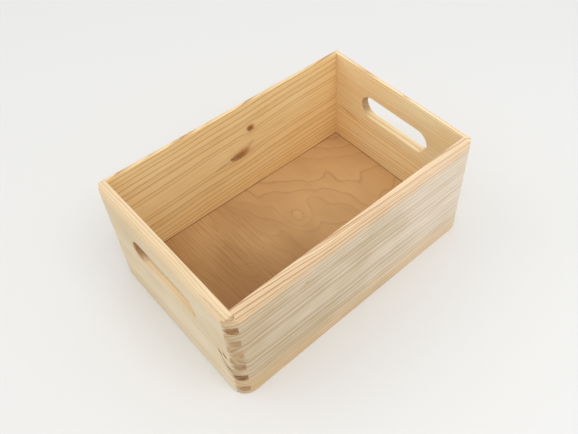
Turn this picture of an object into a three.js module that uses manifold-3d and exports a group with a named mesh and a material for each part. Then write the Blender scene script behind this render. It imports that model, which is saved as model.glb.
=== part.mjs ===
// A small pine storage crate: four solid boards joined at the corners with interlocking fingers,
// a hand slot through each end board and a plywood floor held in grooves.
// Millimetres, +Z up. The origin is the centre of the crate's footprint, on the surface it stands on.
// X runs along the crate, Y across it.

import * as THREE from 'three';
import { mergeVertices } from 'three/addons/utils/BufferGeometryUtils.js';
import Module from 'manifold-3d';

// Driving dimensions
const crateLength = 300;
const crateWidth = 200;
const crateHeight = 130;
const wallThickness = 10;

const cornerRadius = 16; // outer vertical corners
const rimRoundHeight = 13; // the rim's outer edge is rounded over the full wall thickness and this height
const baseEase = 1; // small roundover along the bottom outer edge

const fingerHeight = 10;
const lowestFingerHeight = 5; // the side boards' half finger, which stands on the ground
const glueFilm = 0.1; // clearance in the finger joints

const floorThickness = 4;
const floorTopHeight = 10.5;
const grooveDepth = 4;
const grooveClearance = 0.2; // above and below the floor panel
const floorEdgeGap = 0.5; // between the floor panel's edge and the bottom of the groove

const slotLength = 95;
const slotHeight = 28;
const slotCentreHeight = 85;

// How finely the round stretches are faceted
const cornerSegments = 8;
const rimSegments = 8;
const slotSegments = 12;
const overshoot = 20; // how far cutters run past the surfaces they cut

const halfLength = crateLength / 2;
const halfWidth = crateWidth / 2;

const wasm = await Module();
wasm.setup();

function solidFrom(geometry) {
  const bare = geometry.clone();
  bare.deleteAttribute('normal');
  bare.deleteAttribute('uv');
  const merged = mergeVertices(bare, 1e-4);
  return new wasm.Manifold(new wasm.Mesh({
    numProp: 3,
    vertProperties: new Float32Array(merged.attributes.position.array),
    triVerts: new Uint32Array(merged.index.array),
  }));
}

function geometryFrom(solid) {
  const mesh = solid.getMesh();
  const geometry = new THREE.BufferGeometry();
  geometry.setAttribute('position', new THREE.BufferAttribute(mesh.vertProperties, 3));
  geometry.setIndex(new THREE.BufferAttribute(mesh.triVerts, 1));
  geometry.computeVertexNormals();
  return geometry;
}

// The crate's plan outline, drawn a given distance inside its outer faces.
function planOutline(inset) {
  const x = halfLength - cornerRadius;
  const y = halfWidth - cornerRadius;
  const radius = cornerRadius - inset;
  const outline = new THREE.Shape();
  outline.absarc(x, y, radius, 0, Math.PI / 2);
  outline.absarc(-x, y, radius, Math.PI / 2, Math.PI);
  outline.absarc(-x, -y, radius, Math.PI, Math.PI * 1.5);
  outline.absarc(x, -y, radius, Math.PI * 1.5, Math.PI * 2);
  return outline;
}

// The crate's plan carried straight up, with its bottom edge eased.
function standingBlock() {
  const block = new THREE.ExtrudeGeometry(planOutline(baseEase), {
    depth: crateHeight + overshoot,
    bevelSize: baseEase,
    bevelThickness: baseEase,
    bevelSegments: 3,
    curveSegments: cornerSegments,
  });
  return solidFrom(block.translate(0, 0, baseEase));
}

// The crate's outline seen from one side, with both top edges rounded over, carried straight across
// the crate along Y.
function rimForm(halfSpan, depth) {
  const x = halfSpan - wallThickness;
  const y = crateHeight - rimRoundHeight;
  const outline = new THREE.Shape();
  outline.moveTo(-halfSpan, -overshoot);
  outline.lineTo(halfSpan, -overshoot);
  outline.absellipse(x, y, wallThickness, rimRoundHeight, 0, Math.PI / 2);
  outline.absellipse(-x, y, wallThickness, rimRoundHeight, Math.PI / 2, Math.PI);
  const form = new THREE.ExtrudeGeometry(outline, {
    depth,
    bevelEnabled: false,
    curveSegments: rimSegments,
  });
  return form.translate(0, 0, -depth / 2).rotateX(Math.PI / 2);
}

// The outer shape that all four boards share once the glued-up crate has been rounded off. The rim is
// rounded straight along each side, so the four roundovers meet in mitred creases at the corners.
function outerForm() {
  const overEnds = solidFrom(rimForm(halfLength, crateWidth + 2 * overshoot));
  const overSides = solidFrom(rimForm(halfWidth, crateLength + 2 * overshoot).rotateZ(Math.PI / 2));
  return standingBlock().intersect(overEnds).intersect(overSides);
}

// The face outline of a board with fingers at both ends. The fingers of the side boards and of the end
// boards take turns up the corner, and startsProud says whether this board has the lowest one.
function fingeredOutline(halfSpan, startsProud) {
  const shoulder = halfSpan - wallThickness - glueFilm;
  const rightEdge = [];
  let low = 0;
  let proud = startsProud;
  while (low < crateHeight) {
    const high = Math.min(low === 0 ? lowestFingerHeight : low + fingerHeight, crateHeight);
    const ease = (proud ? glueFilm : -glueFilm) / 2;
    const reach = proud ? halfSpan : shoulder;
    rightEdge.push(new THREE.Vector2(reach, low === 0 ? low : low + ease));
    rightEdge.push(new THREE.Vector2(reach, high === crateHeight ? high : high - ease));
    low = high;
    proud = !proud;
  }
  const leftEdge = rightEdge.map((point) => new THREE.Vector2(-point.x, point.y)).reverse();
  return new THREE.Shape([...rightEdge, ...leftEdge]);
}

// A flat board standing upright, centred on the origin in plan, running along X.
function boardBlank(halfSpan, startsProud) {
  const blank = new THREE.ExtrudeGeometry(fingeredOutline(halfSpan, startsProud), {
    depth: wallThickness,
    bevelEnabled: false,
  });
  return blank.translate(0, 0, -wallThickness / 2).rotateX(Math.PI / 2);
}

function grooveHeight() {
  return floorThickness + 2 * grooveClearance;
}

function grooveCentreHeight() {
  return floorTopHeight - floorThickness / 2;
}

// A side board's groove runs out into the notches between its fingers.
function sideGroove() {
  const groove = new THREE.BoxGeometry(crateLength, 2 * grooveDepth, grooveHeight());
  return groove.translate(0, 0, grooveCentreHeight());
}

// An end board's groove stops short inside its fingers, so it never shows on the outside.
function endGroove() {
  const length = crateWidth - 2 * wallThickness + 2 * grooveDepth;
  const groove = new THREE.BoxGeometry(2 * grooveDepth, length, grooveHeight());
  return groove.translate(0, 0, grooveCentreHeight());
}

// The hand slot is a long hole with round ends, cut right through along X.
function slotCutter() {
  const radius = slotHeight / 2;
  const reach = slotLength / 2 - radius;
  const outline = new THREE.Shape();
  outline.absarc(reach, 0, radius, -Math.PI / 2, Math.PI / 2);
  outline.absarc(-reach, 0, radius, Math.PI / 2, Math.PI * 1.5);
  const cutter = new THREE.ExtrudeGeometry(outline, {
    depth: overshoot,
    bevelEnabled: false,
    curveSegments: slotSegments,
  });
  cutter.translate(0, 0, -overshoot / 2).rotateX(Math.PI / 2).rotateZ(Math.PI / 2);
  return cutter.translate(0, 0, slotCentreHeight);
}

const form = outerForm();

// side is +1 for the board at +Y, -1 for the board at -Y.
function sideBoard(side) {
  const centre = side * (halfWidth - wallThickness / 2);
  const innerFace = side * (halfWidth - wallThickness);
  const blank = solidFrom(boardBlank(halfLength, true).translate(0, centre, 0));
  const groove = solidFrom(sideGroove().translate(0, innerFace, 0));
  return geometryFrom(blank.intersect(form).subtract(groove));
}

// end is +1 for the board at +X, -1 for the board at -X.
function endBoard(end) {
  const centre = end * (halfLength - wallThickness / 2);
  const innerFace = end * (halfLength - wallThickness);
  const blank = boardBlank(halfWidth, false).rotateZ(Math.PI / 2).translate(centre, 0, 0);
  const groove = solidFrom(endGroove().translate(innerFace, 0, 0));
  const slot = solidFrom(slotCutter().translate(centre, 0, 0));
  return geometryFrom(solidFrom(blank).intersect(form).subtract(groove).subtract(slot));
}

// The floor reaches into all four grooves.
function floorPanel() {
  const reach = 2 * (grooveDepth - floorEdgeGap - wallThickness);
  return new THREE.BoxGeometry(crateLength + reach, crateWidth + reach, floorThickness);
}

function pine(color) {
  return new THREE.MeshStandardMaterial({ color, roughness: 0.7, metalness: 0 });
}

function birchPlywood() {
  return new THREE.MeshStandardMaterial({ color: 0xc99a66, roughness: 0.6, metalness: 0 });
}

function named(name, geometry, material) {
  const mesh = new THREE.Mesh(geometry, material);
  mesh.name = name;
  return mesh;
}

const crate = new THREE.Group();
crate.add(named('front_side', sideBoard(-1), pine(0xe2c99a)));
crate.add(named('back_side', sideBoard(1), pine(0xdcb983)));
crate.add(named('left_end', endBoard(-1), pine(0xe6d0a4)));
crate.add(named('right_end', endBoard(1), pine(0xdebd88)));

const floor = named('floor_panel', floorPanel(), birchPlywood());
floor.position.z = grooveCentreHeight();
crate.add(floor);

export default crate;
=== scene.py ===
# A small finger-jointed pine crate with a birch plywood floor, in metres, in the CAD frame:
# X along the crate, Y across it, Z up, origin at the centre of the footprint.

import math
from collections import namedtuple

import bmesh
import bpy
from mathutils import Matrix, Vector


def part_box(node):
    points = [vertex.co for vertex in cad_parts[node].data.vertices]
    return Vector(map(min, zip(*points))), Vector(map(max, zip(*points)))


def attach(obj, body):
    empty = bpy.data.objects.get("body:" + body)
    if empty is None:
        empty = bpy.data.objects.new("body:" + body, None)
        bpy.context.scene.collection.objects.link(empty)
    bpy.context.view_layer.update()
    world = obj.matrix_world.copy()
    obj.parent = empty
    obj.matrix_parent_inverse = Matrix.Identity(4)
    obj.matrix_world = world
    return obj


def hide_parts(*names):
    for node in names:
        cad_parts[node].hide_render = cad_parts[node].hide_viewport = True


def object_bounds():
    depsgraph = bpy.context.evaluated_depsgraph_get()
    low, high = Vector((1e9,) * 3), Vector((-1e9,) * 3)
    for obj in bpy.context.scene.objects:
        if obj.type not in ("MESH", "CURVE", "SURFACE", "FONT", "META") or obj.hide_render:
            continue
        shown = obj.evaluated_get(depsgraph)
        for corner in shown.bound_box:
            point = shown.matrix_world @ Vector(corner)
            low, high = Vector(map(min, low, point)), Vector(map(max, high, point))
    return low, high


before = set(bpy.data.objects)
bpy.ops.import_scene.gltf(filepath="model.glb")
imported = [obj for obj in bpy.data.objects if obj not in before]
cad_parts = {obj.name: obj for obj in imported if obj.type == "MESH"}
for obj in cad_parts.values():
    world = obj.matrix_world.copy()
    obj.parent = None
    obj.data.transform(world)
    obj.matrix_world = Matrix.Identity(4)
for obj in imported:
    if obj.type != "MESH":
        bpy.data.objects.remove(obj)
cad_low, cad_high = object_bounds()

MM = 0.001

# Sizes read from the frame
length = cad_high.x - cad_low.x
width = cad_high.y - cad_low.y
height = cad_high.z - cad_low.z
half_length = length / 2
half_width = width / 2
side_low, side_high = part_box("front_side")
wall = side_high.y - side_low.y
floor_low, floor_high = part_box("floor_panel")

# Sizes of the joinery and of the eased edges
corner_radius = 16 * MM
rim_round_height = 13 * MM
base_ease = 1 * MM
finger_height = 10 * MM
lowest_finger = 5 * MM
glue_film = 0.1 * MM
groove_depth = 4 * MM
groove_clearance = 0.2 * MM
slot_length = 95 * MM
slot_height = 28 * MM
slot_centre = 85 * MM
slot_ease = 1.2 * MM
crest_ease = 0.5 * MM
panel_ease = 0.3 * MM
ply_seam = 0.06 * MM
ply_joints = (0.33, 0.67)  # as shares of the panel's thickness

# How finely the round stretches are drawn
corner_steps = 20
rim_steps = 22
base_steps = 4
slot_steps = 24
slot_ease_steps = 5
crest_segments = 4
panel_steps = 4

overshoot = 20 * MM  # how far cutters run past what they cut
close = 0.05 * MM  # what counts as the same place
sharp_angle = math.radians(14)  # edges that turn less than this are shaded smooth


# ---------------------------------------------------------------- mesh helpers

def new_object(name, mesh):
    piece = bpy.data.objects.new(name, mesh)
    bpy.context.scene.collection.objects.link(piece)
    return piece


def mesh_from_bmesh(name, bm):
    bmesh.ops.recalc_face_normals(bm, faces=bm.faces)
    mesh = bpy.data.meshes.new(name)
    bm.to_mesh(mesh)
    bm.free()
    return mesh


def loft(name, rings):
    """A closed solid through rings of points, all with the same number of points, capped at both ends."""
    bm = bmesh.new()
    loops = [[bm.verts.new(point) for point in ring] for ring in rings]
    for lower, upper in zip(loops, loops[1:]):
        for i in range(len(lower)):
            j = (i + 1) % len(lower)
            bm.faces.new((lower[i], lower[j], upper[j], upper[i]))
    bm.faces.new(loops[0][::-1])
    bm.faces.new(loops[-1])
    return new_object(name, mesh_from_bmesh(name, bm))


def prism(name, outline, place):
    """A closed solid with the outline at both ends; place(point, end) says where each corner is."""
    return loft(name, [[place(point, end) for point in outline] for end in (0, 1)])


def rounded_ring(centre_x, centre_y, radius, z, steps):
    """A rectangle with round corners at a height; the corners are centred at +-centre_x, +-centre_y."""
    ring = []
    for quarter, (sx, sy) in enumerate(((1, 1), (-1, 1), (-1, -1), (1, -1))):
        for step in range(steps + 1):
            angle = math.pi / 2 * (quarter + step / steps)
            x = sx * centre_x + radius * math.cos(angle)
            y = sy * centre_y + radius * math.sin(angle)
            ring.append(Vector((x, y, z)))
    return ring


def box_cutter(low, high):
    corners = [(low.x, low.y), (high.x, low.y), (high.x, high.y), (low.x, high.y)]
    return loft("box_cutter", [[Vector((x, y, z)) for x, y in corners] for z in (low.z, high.z)])


def cut(piece, cutter, operation):
    """Applies one boolean to the piece and removes the cutter."""
    modifier = piece.modifiers.new(operation, "BOOLEAN")
    modifier.operation = operation
    modifier.solver = "EXACT"
    modifier.object = cutter
    bpy.context.view_layer.update()
    evaluated = piece.evaluated_get(bpy.context.evaluated_depsgraph_get())
    mesh = bpy.data.meshes.new_from_object(evaluated)
    piece.modifiers.clear()
    piece.data = mesh
    bpy.data.objects.remove(cutter)


def merge_slivers(bm):
    """Merges the flat slivers that booleans leave."""
    bmesh.ops.remove_doubles(bm, verts=bm.verts, dist=0.002 * MM)
    bmesh.ops.dissolve_limit(bm, angle_limit=math.radians(0.05), verts=bm.verts, edges=bm.edges)


def shade(piece):
    mesh = piece.data
    mesh.polygons.foreach_set("use_smooth", [True] * len(mesh.polygons))
    mesh.set_sharp_from_angle(angle=sharp_angle)


# ---------------------------------------------------------------- the crate's outer form

def plan_ring(inset, z):
    """The crate's plan outline at a height, a given distance inside the outer faces."""
    centre_x = half_length - corner_radius
    centre_y = half_width - corner_radius
    return rounded_ring(centre_x, centre_y, corner_radius - inset, z, corner_steps)


def rim_profile(half_span):
    """The crate seen from one side, rim rounded: (distance from the middle, height) pairs."""
    edge = [(half_span, -overshoot)]
    for step in range(rim_steps + 1):
        angle = math.pi / 2 * step / rim_steps
        inset = wall * (1 - math.cos(angle))
        edge.append((half_span - inset, height - rim_round_height * (1 - math.sin(angle))))
    return edge + [(-across, z) for across, z in reversed(edge)]


def outer_form():
    """The outside of the whole crate. The rim is rounded straight along each side, so it mitres."""
    rings = []
    for step in range(base_steps):
        angle = math.pi / 2 * step / base_steps
        inset = base_ease * (1 - math.sin(angle))
        rings.append(plan_ring(inset, base_ease * (1 - math.cos(angle))))
    rings.append(plan_ring(0, base_ease))
    rings.append(plan_ring(0, height + overshoot))
    form = loft("outer_form", rings)
    reach = (-half_length - overshoot, half_length + overshoot)
    along = prism("rim_along", rim_profile(half_width), lambda p, end: Vector((reach[end], *p)))
    across = prism("rim_across", rim_profile(half_length),
                   lambda p, end: Vector((p[0], reach[end], p[1])))
    cut(form, along, "INTERSECT")
    cut(form, across, "INTERSECT")
    return form


# ---------------------------------------------------------------- boards and floor

def fingered_edge(half_span, starts_proud):
    """Half of a board's face outline, going up: (distance from the middle, height) pairs."""
    shoulder = half_span - wall - glue_film
    edge = []
    low = 0.0
    proud = starts_proud
    while low < height - close:
        high = min(low + (lowest_finger if low == 0 else finger_height), height)
        ease = (glue_film if proud else -glue_film) / 2
        reach = half_span if proud else shoulder
        edge.append((reach, low + (ease if low > 0 else 0)))
        edge.append((reach, high - (ease if high < height - close else 0)))
        low = high
        proud = not proud
    return edge


def board_outline(half_span, starts_proud):
    edge = fingered_edge(half_span, starts_proud)
    return edge + [(-along, z) for along, z in reversed(edge)]


def slot_ring(x, grow):
    """The hand slot's outline at one depth, enlarged by grow."""
    reach = (slot_length - slot_height) / 2
    radius = slot_height / 2 + grow
    ring = []
    for side in (0, 1):
        for step in range(slot_steps + 1):
            angle = math.pi * (side - 0.5 + step / slot_steps)
            y = (reach if side == 0 else -reach) + radius * math.cos(angle)
            ring.append(Vector((x, y, slot_centre + radius * math.sin(angle))))
    return ring


def slot_cutter(centre_x):
    """The hand slot with its edges rounded over on both faces of the board."""
    face = centre_x - wall / 2
    rings = [slot_ring(face - overshoot, slot_ease)]
    for step in range(slot_ease_steps + 1):
        angle = math.pi / 2 * step / slot_ease_steps
        depth = slot_ease * (1 - math.cos(angle))
        rings.append(slot_ring(face + depth, slot_ease * (1 - math.sin(angle))))
    mirrored = [[Vector((2 * centre_x - p.x, p.y, p.z)) for p in ring] for ring in reversed(rings)]
    return loft("slot_cutter", rings + mirrored)


def groove_cutter(across, inner_face, reach):
    """The floor's groove in a board, running reach to each side of the board's middle."""
    low = Vector((-reach, -reach, floor_low.z - groove_clearance))
    high = Vector((reach, reach, floor_high.z + groove_clearance))
    low[across] = inner_face - groove_depth
    high[across] = inner_face + groove_depth
    return box_cutter(low, high)


def ease_inner_crest(piece, across, inner_face):
    """Rounds the sharp inner edge along the top of a board."""
    bm = bmesh.new()
    bm.from_mesh(piece.data)
    merge_slivers(bm)

    def on_crest(vert):
        return abs(vert.co[across] - inner_face) < close and vert.co.z > height - close

    edges = [e for e in bm.edges if all(on_crest(v) for v in e.verts)]
    bmesh.ops.bevel(bm, geom=edges, offset=crest_ease, segments=crest_segments, profile=0.5,
                    affect="EDGES")
    bm.to_mesh(piece.data)
    bm.free()


def side_board(name, side):
    """A long board: side is +1 at +Y and -1 at -Y. It has the lowest finger."""
    outer = side * half_width
    inner = side * (half_width - wall)
    outline = board_outline(half_length, True)
    piece = prism(name, outline, lambda p, end: Vector((p[0], inner if end else outer, p[1])))
    cut(piece, outer_form(), "INTERSECT")
    cut(piece, groove_cutter(1, inner, half_length), "DIFFERENCE")
    ease_inner_crest(piece, 1, inner)
    shade(piece)
    return piece


def end_board(name, end):
    """A short board with the hand slot: end is +1 at +X and -1 at -X. Its groove stops inside."""
    outer = end * half_length
    inner = end * (half_length - wall)
    outline = board_outline(half_width, False)
    piece = prism(name, outline, lambda p, far: Vector((inner if far else outer, *p)))
    cut(piece, outer_form(), "INTERSECT")
    cut(piece, groove_cutter(0, inner, half_width - wall + groove_depth), "DIFFERENCE")
    cut(piece, slot_cutter((outer + inner) / 2), "DIFFERENCE")
    ease_inner_crest(piece, 0, inner)
    shade(piece)
    return piece


def panel_ring(inset, z):
    """The floor panel's outline at a height, with its corners just rounded."""
    centre_x = floor_high.x - inset - panel_ease
    centre_y = floor_high.y - inset - panel_ease
    return rounded_ring(centre_x, centre_y, panel_ease, z, panel_steps)


def floor_panel(name):
    """The plywood floor: its arrises are taken off, and a fine line runs between its plies."""
    thickness = floor_high.z - floor_low.z
    levels = [(panel_ease, 0.0), (0.0, panel_ease)]
    for joint in ply_joints:
        middle = joint * thickness
        levels += [(0.0, middle - ply_seam), (ply_seam, middle), (0.0, middle + ply_seam)]
    levels += [(0.0, thickness - panel_ease), (panel_ease, thickness)]
    panel = loft(name, [panel_ring(inset, floor_low.z + z) for inset, z in levels])
    shade(panel)
    return panel


# ---------------------------------------------------------------- material nodes

class Field:
    """A number or colour that varies over a surface. Arithmetic on fields makes math nodes."""

    def __init__(self, graph, socket):
        self.graph = graph
        self.socket = socket

    def __add__(self, other):
        return self.graph.calc("ADD", self, other)

    def __sub__(self, other):
        return self.graph.calc("SUBTRACT", self, other)

    def __rsub__(self, other):
        return self.graph.calc("SUBTRACT", other, self)

    def __mul__(self, other):
        return self.graph.calc("MULTIPLY", self, other)

    def __truediv__(self, other):
        return self.graph.calc("DIVIDE", self, other)

    __radd__ = __add__
    __rmul__ = __mul__


class Graph:
    """One material's nodes."""

    def __init__(self, name):
        self.material = bpy.data.materials.new(name)
        self.material.use_nodes = True
        self.tree = self.material.node_tree
        self.shader = self.tree.nodes["Principled BSDF"]

    def connect(self, value, socket):
        if isinstance(value, Field):
            self.tree.links.new(value.socket, socket)
        else:
            socket.default_value = value

    def make(self, kind, inputs, output=0, **settings):
        node = self.tree.nodes.new(kind)
        for setting, value in settings.items():
            setattr(node, setting, value)
        for key, value in inputs.items():
            self.connect(value, node.inputs[key])
        return Field(self, node.outputs[output])

    def calc(self, operation, *values):
        return self.make("ShaderNodeMath", dict(enumerate(values)), operation=operation)

    def axes(self, coordinates):
        """The three axes of one of the surface's own coordinates."""
        parts = self.tree.nodes.new("ShaderNodeSeparateXYZ")
        self.connect(self.make("ShaderNodeTexCoord", {}, coordinates), parts.inputs[0])
        return [Field(self, axis) for axis in parts.outputs]

    def position(self):
        """The object's own coordinates in millimetres."""
        return [axis * (1 / MM) for axis in self.axes("Object")]

    def facing(self, axis):
        """How squarely the surface faces along an axis, from 0 to 1."""
        return self.calc("ABSOLUTE", self.axes("Normal")[axis])

    def length(self, a, b):
        return self.calc("SQRT", a * a + b * b)

    def bell(self, value, width):
        """1 where the value is 0, fading to nothing at about twice the width."""
        return self.calc("EXPONENT", value * value * (-1 / width ** 2))

    def ramp(self, value, start, end):
        """Goes smoothly from 0 at start to 1 at end; start may be the larger."""
        inputs = {"Value": value, "From Min": start, "From Max": end}
        return self.make("ShaderNodeMapRange", inputs, interpolation_type="SMOOTHSTEP")

    def noise(self, x, y, z, detail=2.0):
        """Smooth noise about 0, with features one unit apart."""
        place = self.make("ShaderNodeCombineXYZ", {0: x, 1: y, 2: z})
        inputs = {"Vector": place, "Scale": 1.0, "Detail": detail, "Roughness": 0.55}
        return self.make("ShaderNodeTexNoise", inputs) - 0.5

    def random(self, value):
        """A random number from 0 to 1 for each whole value."""
        return self.make("ShaderNodeTexWhiteNoise", {"W": value}, noise_dimensions="1D")

    def mix(self, amount, first, second, blend_type="MIX"):
        inputs = {0: amount, 6: first, 7: second}
        return self.make("ShaderNodeMix", inputs, 2, data_type="RGBA", blend_type=blend_type)

    def stained(self, amount, colour, tint):
        """The colour darkened towards a tint, as a stain does it, not covered by it."""
        return self.mix(amount, colour, tint, "MULTIPLY")

    def scaled(self, colour, amount):
        """The colour made lighter or darker by a factor."""
        grey = self.make("ShaderNodeCombineXYZ", {0: amount, 1: amount, 2: amount})
        return self.mix(1.0, colour, grey, "MULTIPLY")

    def finish(self, colour, roughness, relief, depth, specular):
        """Sets the shader: relief is a height from 0 to 1, as deep as depth in metres."""
        bump = self.make("ShaderNodeBump", {"Height": relief, "Distance": depth, "Strength": 1.0})
        self.connect(colour, self.shader.inputs["Base Color"])
        self.connect(roughness, self.shader.inputs["Roughness"])
        self.connect(bump, self.shader.inputs["Normal"])
        self.shader.inputs["Specular IOR Level"].default_value = specular
        return self.material


def srgb(red, green, blue):
    """A colour given as it is seen, from 0 to 255, as the linear colour that a shader takes."""
    def linear(value):
        value = value / 255
        return value / 12.92 if value <= 0.04045 else ((value + 0.055) / 1.055) ** 2.4
    return (linear(red), linear(green), linear(blue), 1.0)


# ---------------------------------------------------------------- colours and boards

LOW_AMBER = srgb(232, 190, 128)
RIM_LINE = srgb(214, 166, 120)
END_PALE = srgb(214, 184, 140)
END_BROWN = srgb(162, 120, 80)
SLOT_AMBER = srgb(234, 196, 130)
# The painted shade deep inside the hand slot, with some darker burnish.
SLOT_SHADE_BROWN = srgb(172, 120, 60)
# Real stains, and also the painted shade in the corners along the floor and in the hand slot's far end.
STAIN_AND_SHADE = srgb(166, 124, 78)
KNOT_HALO = srgb(208, 156, 98)
KNOT_LIGHT = srgb(206, 152, 90)
KNOT_DARK = srgb(136, 86, 42)
BARK = srgb(100, 60, 28)
BIRCH_PALE = srgb(206, 166, 115)
# The floor's warm patches, and its painted shade near the front and left walls.
BIRCH_WARM_AND_SHADED = srgb(164, 122, 76)
BIRCH_LINE = srgb(140, 94, 54)

# A knot or a stain on a board: where its middle is along the grain and up the board, and half its
# size each way, in millimetres, its tilt in degrees, and how dark it is, from 0 to 1.
Mark = namedtuple("Mark", "along up half_length half_height tilt darkness")

# How a board was cut from its log, how it has aged, and the light and shade painted on it. Lengths are in
# millimetres.
# pith_out, pith_up: the centre of the growth rings at the middle of the board, outwards from its
#     inner face and up from the ground
# drift_out, drift_up: how far the pith moves for each millimetre along the board
# ring_width, first_ring: the distance between rings, and how far all of them are shifted outwards
# crowded_from, crowding: the radius beyond which rings lie closer, and how many more there are to
#     a millimetre
# contrast: how strong the rings' dark lines are
# pale, warm, late, rim: the two colours that the face varies between, the tint of the rings' dark
#     lines, and the rim's colour
# low_warmth: how amber the board is near the ground
# lean: painted light and shade along the board, how fast it turns from pale, where lit, to warm, where
# shaded, along its length; lines are fainter at the pale end
# handling: how worn the hand slot is, and how much painted shade lies in it
# end_darkness: how dark the darkest finger ends are
# seed: sets this board's noise apart from the others'
Board = namedtuple("Board", (
    "pith_out", "pith_up", "drift_out", "drift_up", "ring_width", "first_ring", "crowded_from",
    "crowding", "contrast", "pale", "warm", "late", "rim", "low_warmth", "lean", "handling",
    "end_darkness", "seed", "knots", "stains"))

FRONT = Board(
    pith_out=22.4, pith_up=62.7, drift_out=-0.004, drift_up=-0.035,
    ring_width=5.9, first_ring=-0.1, crowded_from=60, crowding=0.1, contrast=0.55,
    pale=srgb(233, 219, 199), warm=srgb(205, 185, 152),
    late=srgb(182, 153, 122), rim=srgb(240, 204, 156),
    low_warmth=0.45, lean=-0.0024, handling=0, end_darkness=0.1, seed=1.3,
    knots=[Mark(-70, 106, 1.3, 1.1, 0, 0.6)],
    stains=[
        Mark(-147, 62, 8, 26, 0, 0.22),
        Mark(100, 67, 32, 1.0, 6, 0.2),
        Mark(100, 59.5, 32, 1.0, -9, 0.2),
    ])
BACK = Board(
    pith_out=-28.0, pith_up=76.6, drift_out=0.002, drift_up=0.055,
    ring_width=5.6, first_ring=4.9, crowded_from=50, crowding=0.05, contrast=0.6,
    pale=srgb(250, 223, 169), warm=srgb(245, 210, 149),
    late=srgb(194, 154, 96), rim=srgb(228, 206, 172),
    low_warmth=0.1, lean=0.0, handling=0, end_darkness=0.7, seed=4.1,
    knots=[Mark(2.8, 68, 12, 5.2, 8, 0.9), Mark(17.6, 96.5, 4.6, 4.2, -35, 0.9)],
    stains=[
        Mark(-10.5, 67.5, 1.6, 2.0, 0, 0.8),
        Mark(-22, 65.5, 11, 0.8, 8, 0.5),
        Mark(15, 75, 6, 2.5, 30, 0.2),
        Mark(17.2, 96.2, 3.2, 2.8, 0, 0.45),
    ])
LEFT = Board(
    pith_out=60.0, pith_up=40, drift_out=0.01, drift_up=0.01,
    ring_width=3.4, first_ring=0.0, crowded_from=60, crowding=0.1, contrast=0.3,
    pale=srgb(236, 221, 193), warm=srgb(220, 198, 160),
    late=srgb(184, 158, 120), rim=srgb(240, 210, 164),
    low_warmth=0.05, lean=0.0, handling=1, end_darkness=0.4, seed=7.7,
    knots=[Mark(-84.6, 62.8, 3.2, 1.2, 60, 0.5), Mark(-77.8, 60.3, 3.4, 1.2, 60, 0.5)],
    stains=[
        Mark(-84.6, 62.8, 4.4, 1.6, 60, 0.8),
        Mark(-77.8, 60.3, 4.4, 1.6, 60, 0.8),
        Mark(-88, 42, 16, 1.8, 52, 0.5),
        Mark(-90, 36, 20, 7, 55, 0.3),
        Mark(-96, 110, 6, 6, 0, 0.85),
        Mark(-96, 90, 6, 6, 0, 0.4),
        Mark(-96, 70, 6, 6, 0, 0.4),
        Mark(-96, 50, 6, 6, 0, 0.55),
        Mark(-95, 31, 6, 6, 0, 0.85),
        Mark(-95, 10, 6, 6, 0, 0.6),
        Mark(-96, 127, 2.4, 2, 0, 0.5),
        Mark(-80, 126.8, 18, 0.5, 0, 0.4),
    ])
RIGHT = Board(
    pith_out=-16.0, pith_up=40, drift_out=0.006, drift_up=-0.02,
    ring_width=3.5, first_ring=0.0, crowded_from=60, crowding=0.05, contrast=0.52,
    pale=srgb(255, 239, 197), warm=srgb(254, 224, 168),
    late=srgb(200, 158, 102), rim=srgb(232, 208, 176),
    low_warmth=0.0, lean=0.0018, handling=0.3, end_darkness=0.7, seed=10.9,
    knots=[],
    stains=[Mark(68, 57, 16, 3, 8, 0.18)])

FINE_LINES = 2.6  # fine lines to each main line of the growth rings
RIM_TOP_BAND = (114.0, 124.0)  # the heights between which the face turns into the rim's colour
CORNER_SHADE_AND_DUST = 0.7  # how dark the painted shade, with some dust, in the corner between the walls and the floor is
PINE_RELIEF = 0.12 * MM
BIRCH_RELIEF = 0.08 * MM


# ---------------------------------------------------------------- pine

# A point of a board's surface, in millimetres: along the grain, across the crate, up, and outwards
# from the board's inner face.
Place = namedtuple("Place", "along across up out")

# A board's noises: fine fibres, ragged edges, broad patches, and the pores of the end grain.
Noises = namedtuple("Noises", "fibre ragged patches pores")


def board_place(g, grain_axis, outward):
    position = g.position()
    across = position[1 - grain_axis]
    half_span = (half_width if grain_axis == 0 else half_length) / MM
    out = across * outward - (half_span - wall / MM)
    return Place(position[grain_axis], across, position[2], out)


def board_noises(g, place, seed):
    along, across, up, out = place
    return Noises(
        fibre=g.noise(along / 22 + seed, up / 0.7, out / 0.7, 3.0),
        ragged=g.noise(along / 4 + seed, up / 3, out / 3) * 0.5,
        patches=g.noise(along / 60 + seed, up / 30, out / 30),
        pores=g.noise(along / 3, up / 0.5, across / 0.5))


def mark_distance(g, place, mark):
    """The distance from a mark's middle, 1 at its edge."""
    turn = math.radians(mark.tilt)
    right = place.along - mark.along
    above = place.up - mark.up
    level = (right * math.cos(turn) + above * math.sin(turn)) / mark.half_length
    upright = (above * math.cos(turn) - right * math.sin(turn)) / mark.half_height
    return g.length(level, upright)


def from_pith(g, place, board, knot_distances):
    """How far a point is from the pith, up and outwards. The rings flow round knots, and wander."""
    along, _, up, out = place
    bent = up
    for knot, distance in zip(board.knots, knot_distances):
        bent = bent - (up - knot.up) * g.bell(distance, 1.9) * 0.8
    slow = g.noise(along / 130 + board.seed, up / 60, out / 60, 1.0) * 9
    quick = g.noise(along / 34 + board.seed, up / 11, out / 11, 1.0) * 1.2
    rise = bent + slow + quick - (along * board.drift_up + board.pith_up)
    depth = out + slow * 0.12 - (along * board.drift_out + board.pith_out)
    return rise, depth


def late_wood(g, count, start, dark_from, dark_to):
    """The dark part of each ring: it darkens slowly outwards from start and ends sharply."""
    phase = g.calc("FRACT", count)
    return g.ramp(phase, start, dark_from) * g.ramp(phase, 1.0, dark_to)


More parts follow.
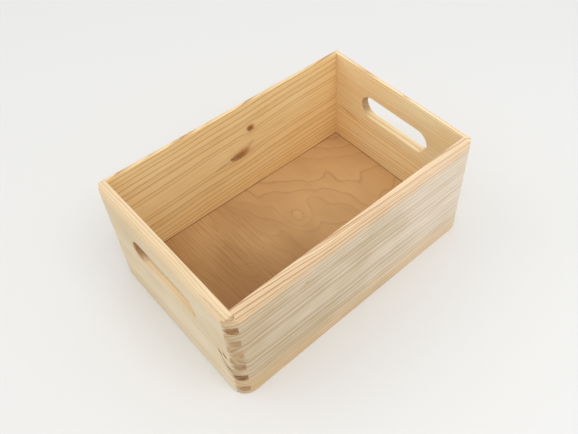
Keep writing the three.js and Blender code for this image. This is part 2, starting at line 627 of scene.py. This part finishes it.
def ring_lines(g, place, board, fibre, rise, depth):
    """How dark the growth rings' lines are, with finer lines between the main ones."""
    distance = g.length(rise, depth)
    radius = distance - board.first_ring
    crowded = g.calc("MAXIMUM", radius - board.crowded_from, 0.0) * board.crowding
    uneven = g.noise(radius / 9 + board.seed, 0.0, 0.0, 1.0) * 1.2
    count = radius / board.ring_width + crowded + uneven + fibre * 0.2
    strength = g.random(g.calc("FLOOR", count)) * 0.4 + 0.7
    main = late_wood(g, count, 0.6, 0.93, 0.95) * strength
    fine_count = count * FINE_LINES
    fine_strength = g.random(g.calc("FLOOR", fine_count) + 0.5) * 0.75
    fine = late_wood(g, fine_count, 0.3, 0.85, 0.85) * fine_strength
    # Rings that lie flat to the face would show as broad bands, so they fade there.
    squareness = g.ramp(g.calc("ABSOLUTE", rise / distance), 0.05, 0.45) * 0.75 + 0.25
    lines = g.calc("MAXIMUM", main, fine) * squareness * board.contrast
    # The ring lines fade towards the painted lit end of the board.
    return lines * (1 - g.ramp(place.along * board.lean, 0.0, -0.36) * 0.35)


def face_colour(g, place, noises, board, lines, rim):
    """Sawn pine: patches of two colours, amber near the ground, ring lines, fibres and dashes."""
    along, _, up, out = place
    # Patches at random, and painted light and shade along the board: pale where lit, warm where shaded.
    warmth_and_painted_shade = g.ramp(noises.patches + along * board.lean, -0.45, 0.45)
    colour = g.mix(warmth_and_painted_shade, board.pale, board.warm)
    low = g.ramp(up + noises.patches * 30, 40.0, 0.0)
    colour = g.mix(low * board.low_warmth, colour, LOW_AMBER)
    colour = g.mix(rim * 0.5, colour, board.rim)
    colour = g.stained(lines, colour, board.late)
    colour = g.stained(lines * rim * 0.8, colour, RIM_LINE)
    dashes = g.ramp(g.noise(along / 7 + board.seed, up / 0.45, out / 0.45, 1.0), 0.2, 0.32)
    return g.scaled(colour, 1 + noises.fibre * 0.22 - dashes * 0.06)


def with_end_grain(g, colour, place, noises, board, lines, end):
    """End grain is browner, and some finger ends are much darker than others."""
    finger = g.calc("FLOOR", (place.up - lowest_finger / MM) / (finger_height / MM))
    side = g.calc("SIGN", place.along)
    darkness = g.random(finger * 3 + side + board.seed * 7) * board.end_darkness
    end_colour = g.mix(darkness, END_PALE, END_BROWN)
    end_colour = g.scaled(end_colour, 1 + noises.pores * 0.5 - lines * 0.5)
    return g.mix(end * 0.8, colour, end_colour)


def with_corner_shade_and_dust(g, colour, place):
    """Painted shade, with some dust, darkens the corner between a board's inner face and the floor."""
    above_floor = place.up - floor_high.z / MM
    corner = g.ramp(above_floor, 1.3, 0.3) * g.ramp(above_floor, -1.5, -0.1)
    corner = corner * g.ramp(place.out, 0.8, 0.2)
    # A painted shadow line, with some dust, where the board meets the floor.
    return g.stained(corner * CORNER_SHADE_AND_DUST, colour, STAIN_AND_SHADE)


def slot_surface(g, place):
    """1 inside the hand slot and over its rounded edges, 0 on the board's faces."""
    reach = (slot_length - slot_height) / 2 / MM
    past_middle = g.calc("MAXIMUM", g.calc("ABSOLUTE", place.along) - reach, 0.0)
    from_centre = g.length(past_middle, place.up - slot_centre / MM)
    from_slot = from_centre - slot_height / 2 / MM
    return g.ramp(from_slot, 3.0, 0.0) * g.ramp(g.facing(0), 1.0, 0.6)


def with_slot_wear_and_shade(g, colour, place, noises, board, in_slot):
    """Hands wear the slot amber. Painted shade, with some darker burnish, darkens it most of all along
    its inner edge, and painted shade over dark end grain darkens its far end.
    """
    along, _, _, out = place
    ragged_pores = noises.pores * 1.5 + noises.ragged
    worn_and_shaded = in_slot * board.handling * g.ramp(out, 10.2, 8.0)
    # Painted shade deep in the slot, near the board's inner face, with some darker burnish.
    deep = g.ramp(out + noises.pores * 2 + noises.ragged * 3, 6.0, 3.8) * g.ramp(along, -40.0, 0.0)
    colour = g.mix(worn_and_shaded * (ragged_pores + 0.35), colour, SLOT_AMBER)
    colour = g.mix(worn_and_shaded * deep * 0.3, colour, SLOT_SHADE_BROWN)
    # Painted shade over dark end grain in the slot's far end.
    far_end_grain_and_shade = g.ramp(along, 32.0, 44.0) * (0.6 + noises.pores * 2)
    return g.stained(worn_and_shaded * far_end_grain_and_shade, colour, STAIN_AND_SHADE)


def with_knot(g, colour, relief, place, noises, knot, distance):
    """A knot: a warm halo, a heart with its own rings, darker at its lower left, and bark there."""
    right = place.along - knot.along
    above = place.up - knot.up
    halo = g.bell(distance, 1.6) * 0.4
    core = g.ramp(distance + noises.ragged * 0.4, 1.2, 0.6)
    knot_rings = g.calc("SINE", distance * 16 + noises.ragged * 6) * 0.15
    lower_left = g.ramp(above + right * 0.35 + noises.patches * 6, 3.0, -4.0)
    shade_of_heart = knot_rings + g.ramp(distance, 1.0, 0.0) * 0.5 + lower_left * 0.5
    heart = g.mix(shade_of_heart, KNOT_LIGHT, KNOT_DARK)
    colour = g.mix(halo, colour, KNOT_HALO)
    colour = g.mix(core * knot.darkness, colour, heart)
    bark = g.bell(distance - 0.95, 0.2) * lower_left * knot.darkness * 0.6
    colour = g.mix(bark, colour, BARK)
    return colour, relief - core * 0.4 - bark


def with_stain(g, colour, place, noises, stain):
    """A stain with a ragged edge, blotchy like the pores that it has run into."""
    distance = mark_distance(g, place, stain) + noises.fibre * 0.8 + noises.ragged
    spread = g.ramp(distance, 1.25, 0.55)
    blotches = 1 + noises.pores * 2 + noises.ragged * 3
    return g.stained(spread * blotches * stain.darkness, colour, STAIN_AND_SHADE)


def pine(name, grain_axis, outward, board):
    """Solid pine: its rings are worked out in the round, so they agree on all of its faces."""
    g = Graph(name)
    place = board_place(g, grain_axis, outward)
    noises = board_noises(g, place, board.seed)
    fibre = noises.fibre
    knot_distances = [mark_distance(g, place, knot) + noises.ragged for knot in board.knots]
    rise, depth = from_pith(g, place, board, knot_distances)
    lines = ring_lines(g, place, board, fibre, rise, depth)
    rim = g.ramp(place.up + fibre * 2, *RIM_TOP_BAND) * g.ramp(place.out, 0.0, 0.6)
    end = g.ramp(g.facing(grain_axis), 0.35, 0.85) * (1 - rim * 0.8)

    colour = face_colour(g, place, noises, board, lines, rim)
    colour = with_end_grain(g, colour, place, noises, board, lines, end)
    colour = with_corner_shade_and_dust(g, colour, place)
    roughness = 0.68 + fibre * 0.15 - lines * 0.08 - rim * 0.06 + end * 0.08
    if board.handling > 0:
        in_slot = slot_surface(g, place)
        colour = with_slot_wear_and_shade(g, colour, place, noises, board, in_slot)
        roughness = roughness - in_slot * 0.12
    relief = lines * 0.35 + fibre * 0.5 + end * noises.pores
    for knot, distance in zip(board.knots, knot_distances):
        colour, relief = with_knot(g, colour, relief, place, noises, knot, distance)
    for stain in board.stains:
        colour = with_stain(g, colour, place, noises, stain)
    return g.finish(colour, roughness, relief, PINE_RELIEF, specular=0.3)


# ---------------------------------------------------------------- birch plywood

def veneer_count(g, x, y, ripple, streaky):
    """Counts the contours that rotary cutting lays bare: a swirl, a ridge and broad waves."""
    wander = g.noise(x / 60, y / 80, 0.0, 1.0)
    slope = (x * 0.83 + y) * 0.035 * (1 - streaky) + x * streaky * 0.12
    swirl = g.bell(g.length(x - 18.8, (y - 17.5) * 0.75), 15.0)
    ridge = g.bell(x + 72, 14.0) * g.ramp(y, -60.0, 110.0)
    return slope + wander * 4.2 + ripple * (0.9 - 0.7 * streaky) + swirl * 2.4 + ridge * 4.5


def veneer_edge_shade_and_dust(g, x, y):
    """How near a point of the floor is to the walls, from 0 to 1: where painted shade, with some dust,
    darkens it.
    """
    from_end = (half_length - wall) / MM - g.calc("ABSOLUTE", x)
    from_side = (half_width - wall) / MM - g.calc("ABSOLUTE", y)
    return g.ramp(g.calc("MINIMUM", from_end, from_side), 1.0, 0.1)


def birch_plywood(name):
    """Rotary-cut birch veneer: wandering contours on one side, fine streaks on the other."""
    g = Graph(name)
    x, y, z = g.position()
    streaky = g.ramp(x, -10.0, -60.0)
    ripple = g.noise(x / 18, y / 24, 5.0, 0.6)
    count = veneer_count(g, x, y, ripple, streaky)
    phase = g.calc("FRACT", count)
    strength = g.random(g.calc("FLOOR", count)) * 0.6 + 0.3
    lines = g.ramp(phase, 0.78, 0.98) * g.ramp(phase, 1.0, 0.98) * strength * (1 - 0.5 * streaky)
    zones = g.ramp(phase, 0.0, 1.0)
    fine = g.calc("PINGPONG", count * 2.5 + ripple * 0.6, 0.5) * 2 - 0.5
    streaks = g.noise(x / 1.3, y / 60, 1.0, 3.0)
    pores = g.ramp(g.noise(x / 0.55, y / 5, 2.0, 1.0), 0.17, 0.3)
    flecks = g.ramp(g.noise(x / 1.6, y / 2.2, 3.0, 1.0), 0.2, 0.34)
    patches = g.noise(x / 50, y / 80, 4.0)

    # Warm patches at random, and painted shade that deepens towards the front and left walls, whose
    # shadow falls there.
    warmth_and_painted_shade = g.ramp(patches * 0.5 - x * 0.0024 - y * 0.0022, -0.3, 0.3)
    colour = g.mix(warmth_and_painted_shade, BIRCH_PALE, BIRCH_WARM_AND_SHADED)
    colour = g.mix(zones * 0.08 + lines * 0.24, colour, BIRCH_LINE)
    colour = g.scaled(colour, 1 + streaks * (0.22 + 0.6 * streaky) - pores * 0.08 + flecks * 0.03)
    colour = g.scaled(colour, 1 + fine * (0.012 + 0.035 * streaky))
    # A painted shadow line, with some dust, where the floor meets the walls.
    colour = g.stained(veneer_edge_shade_and_dust(g, x, y) * CORNER_SHADE_AND_DUST, colour, STAIN_AND_SHADE)

    # The middle ply shows its end grain at the panel's edges.
    edge_on = g.ramp(g.facing(2), 0.7, 0.3)
    middle = (floor_low.z + floor_high.z) / 2 / MM
    core = g.ramp(g.calc("ABSOLUTE", z - middle), 0.75, 0.65)
    colour = g.mix(edge_on * core, colour, BIRCH_LINE)
    roughness = 0.62 + streaks * 0.15 + pores * 0.1
    relief = streaks * 0.4 - pores * 0.6 - lines * 0.2
    return g.finish(colour, roughness, relief, BIRCH_RELIEF, specular=0.35)


# ---------------------------------------------------------------- assembly

pieces = [
    (side_board("front_board", -1), "front_side", "pine", pine("pine_front", 0, -1, FRONT)),
    (side_board("back_board", 1), "back_side", "pine", pine("pine_back", 0, 1, BACK)),
    (end_board("left_board", -1), "left_end", "pine", pine("pine_left", 1, -1, LEFT)),
    (end_board("right_board", 1), "right_end", "pine", pine("pine_right", 1, 1, RIGHT)),
    (floor_panel("plywood_floor"), "floor_panel", "birch_plywood", birch_plywood("birch_plywood")),
]
for piece, node, slot, material in pieces:
    piece.data.materials.clear()
    piece.data.materials.append(material)
    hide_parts(node)
    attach(piece, "root")


# ---------------------------------------------------------------- camera, studio floor, light

CAMERA_AZIMUTH = math.radians(-45.47)
CAMERA_ELEVATION = math.radians(47.70)
CAMERA_ROLL = math.radians(1.91)
CAMERA_AIM = Vector((76.44, -6.56, 45.40)) * MM
CAMERA_DISTANCE = 705.39 * MM
CAMERA_LENS = 40.91
CAMERA_SENSOR = 36
CAMERA_SHIFT = (-0.1128, -0.0606)

STAGE_REACH = 3
STAGE_COLOUR = (0.77, 0.77, 0.76)
SKY_STRENGTH = 0.86


def camera_axes():
    """The directions to the camera's right, up and back, with its roll."""
    level = math.cos(CAMERA_ELEVATION)
    back = Vector((math.sin(CAMERA_AZIMUTH) * level, -math.cos(CAMERA_AZIMUTH) * level,
                   math.sin(CAMERA_ELEVATION)))
    right = Vector((math.cos(CAMERA_AZIMUTH), math.sin(CAMERA_AZIMUTH), 0))
    up = back.cross(right)
    rolled_right = right * math.cos(CAMERA_ROLL) + up * math.sin(CAMERA_ROLL)
    rolled_up = up * math.cos(CAMERA_ROLL) - right * math.sin(CAMERA_ROLL)
    return rolled_right, rolled_up, back


def add_camera():
    data = bpy.data.cameras.new("camera")
    data.sensor_width = CAMERA_SENSOR
    data.lens = CAMERA_LENS
    data.shift_x, data.shift_y = CAMERA_SHIFT
    data.clip_start = 10 * MM
    camera = bpy.data.objects.new("camera", data)
    axes = camera_axes()
    camera.matrix_world = Matrix(axes).transposed().to_4x4()
    camera.matrix_world.translation = CAMERA_AIM + axes[2] * CAMERA_DISTANCE
    bpy.context.scene.collection.objects.link(camera)
    bpy.context.scene.camera = camera


def add_stage():
    bm = bmesh.new()
    bmesh.ops.create_grid(bm, x_segments=1, y_segments=1, size=STAGE_REACH)
    stage = new_object("studio_floor", mesh_from_bmesh("studio_floor", bm))
    material = bpy.data.materials.new("stage")
    material.use_nodes = True
    shader = material.node_tree.nodes["Principled BSDF"]
    shader.inputs["Base Color"].default_value = (*STAGE_COLOUR, 1)
    shader.inputs["Roughness"].default_value = 0.7
    stage.data.materials.append(material)


def add_area(name, spot, size, energy):
    """A square soft light that points at the origin."""
    data = bpy.data.lights.new(name, "AREA")
    data.shape = "SQUARE"
    data.size = size
    data.energy = energy
    lamp = bpy.data.objects.new(name, data)
    lamp.location = spot
    lamp.rotation_euler = (-Vector(spot)).to_track_quat("-Z", "Y").to_euler()
    bpy.context.scene.collection.objects.link(lamp)


def add_light():
    world = bpy.data.worlds.new("world")
    world.use_nodes = True
    background = world.node_tree.nodes["Background"]
    background.inputs["Color"].default_value = (1, 1, 1, 1)
    background.inputs["Strength"].default_value = SKY_STRENGTH
    bpy.context.scene.world = world
    add_area("key", (-1.8, 1.8, 2.6), size=2.4, energy=14)
    add_area("overhead", (0.0, -0.8, 1.6), size=1.0, energy=9)


add_camera()
add_stage()
add_light()
bpy.context.scene.view_settings.view_transform = "Standard"
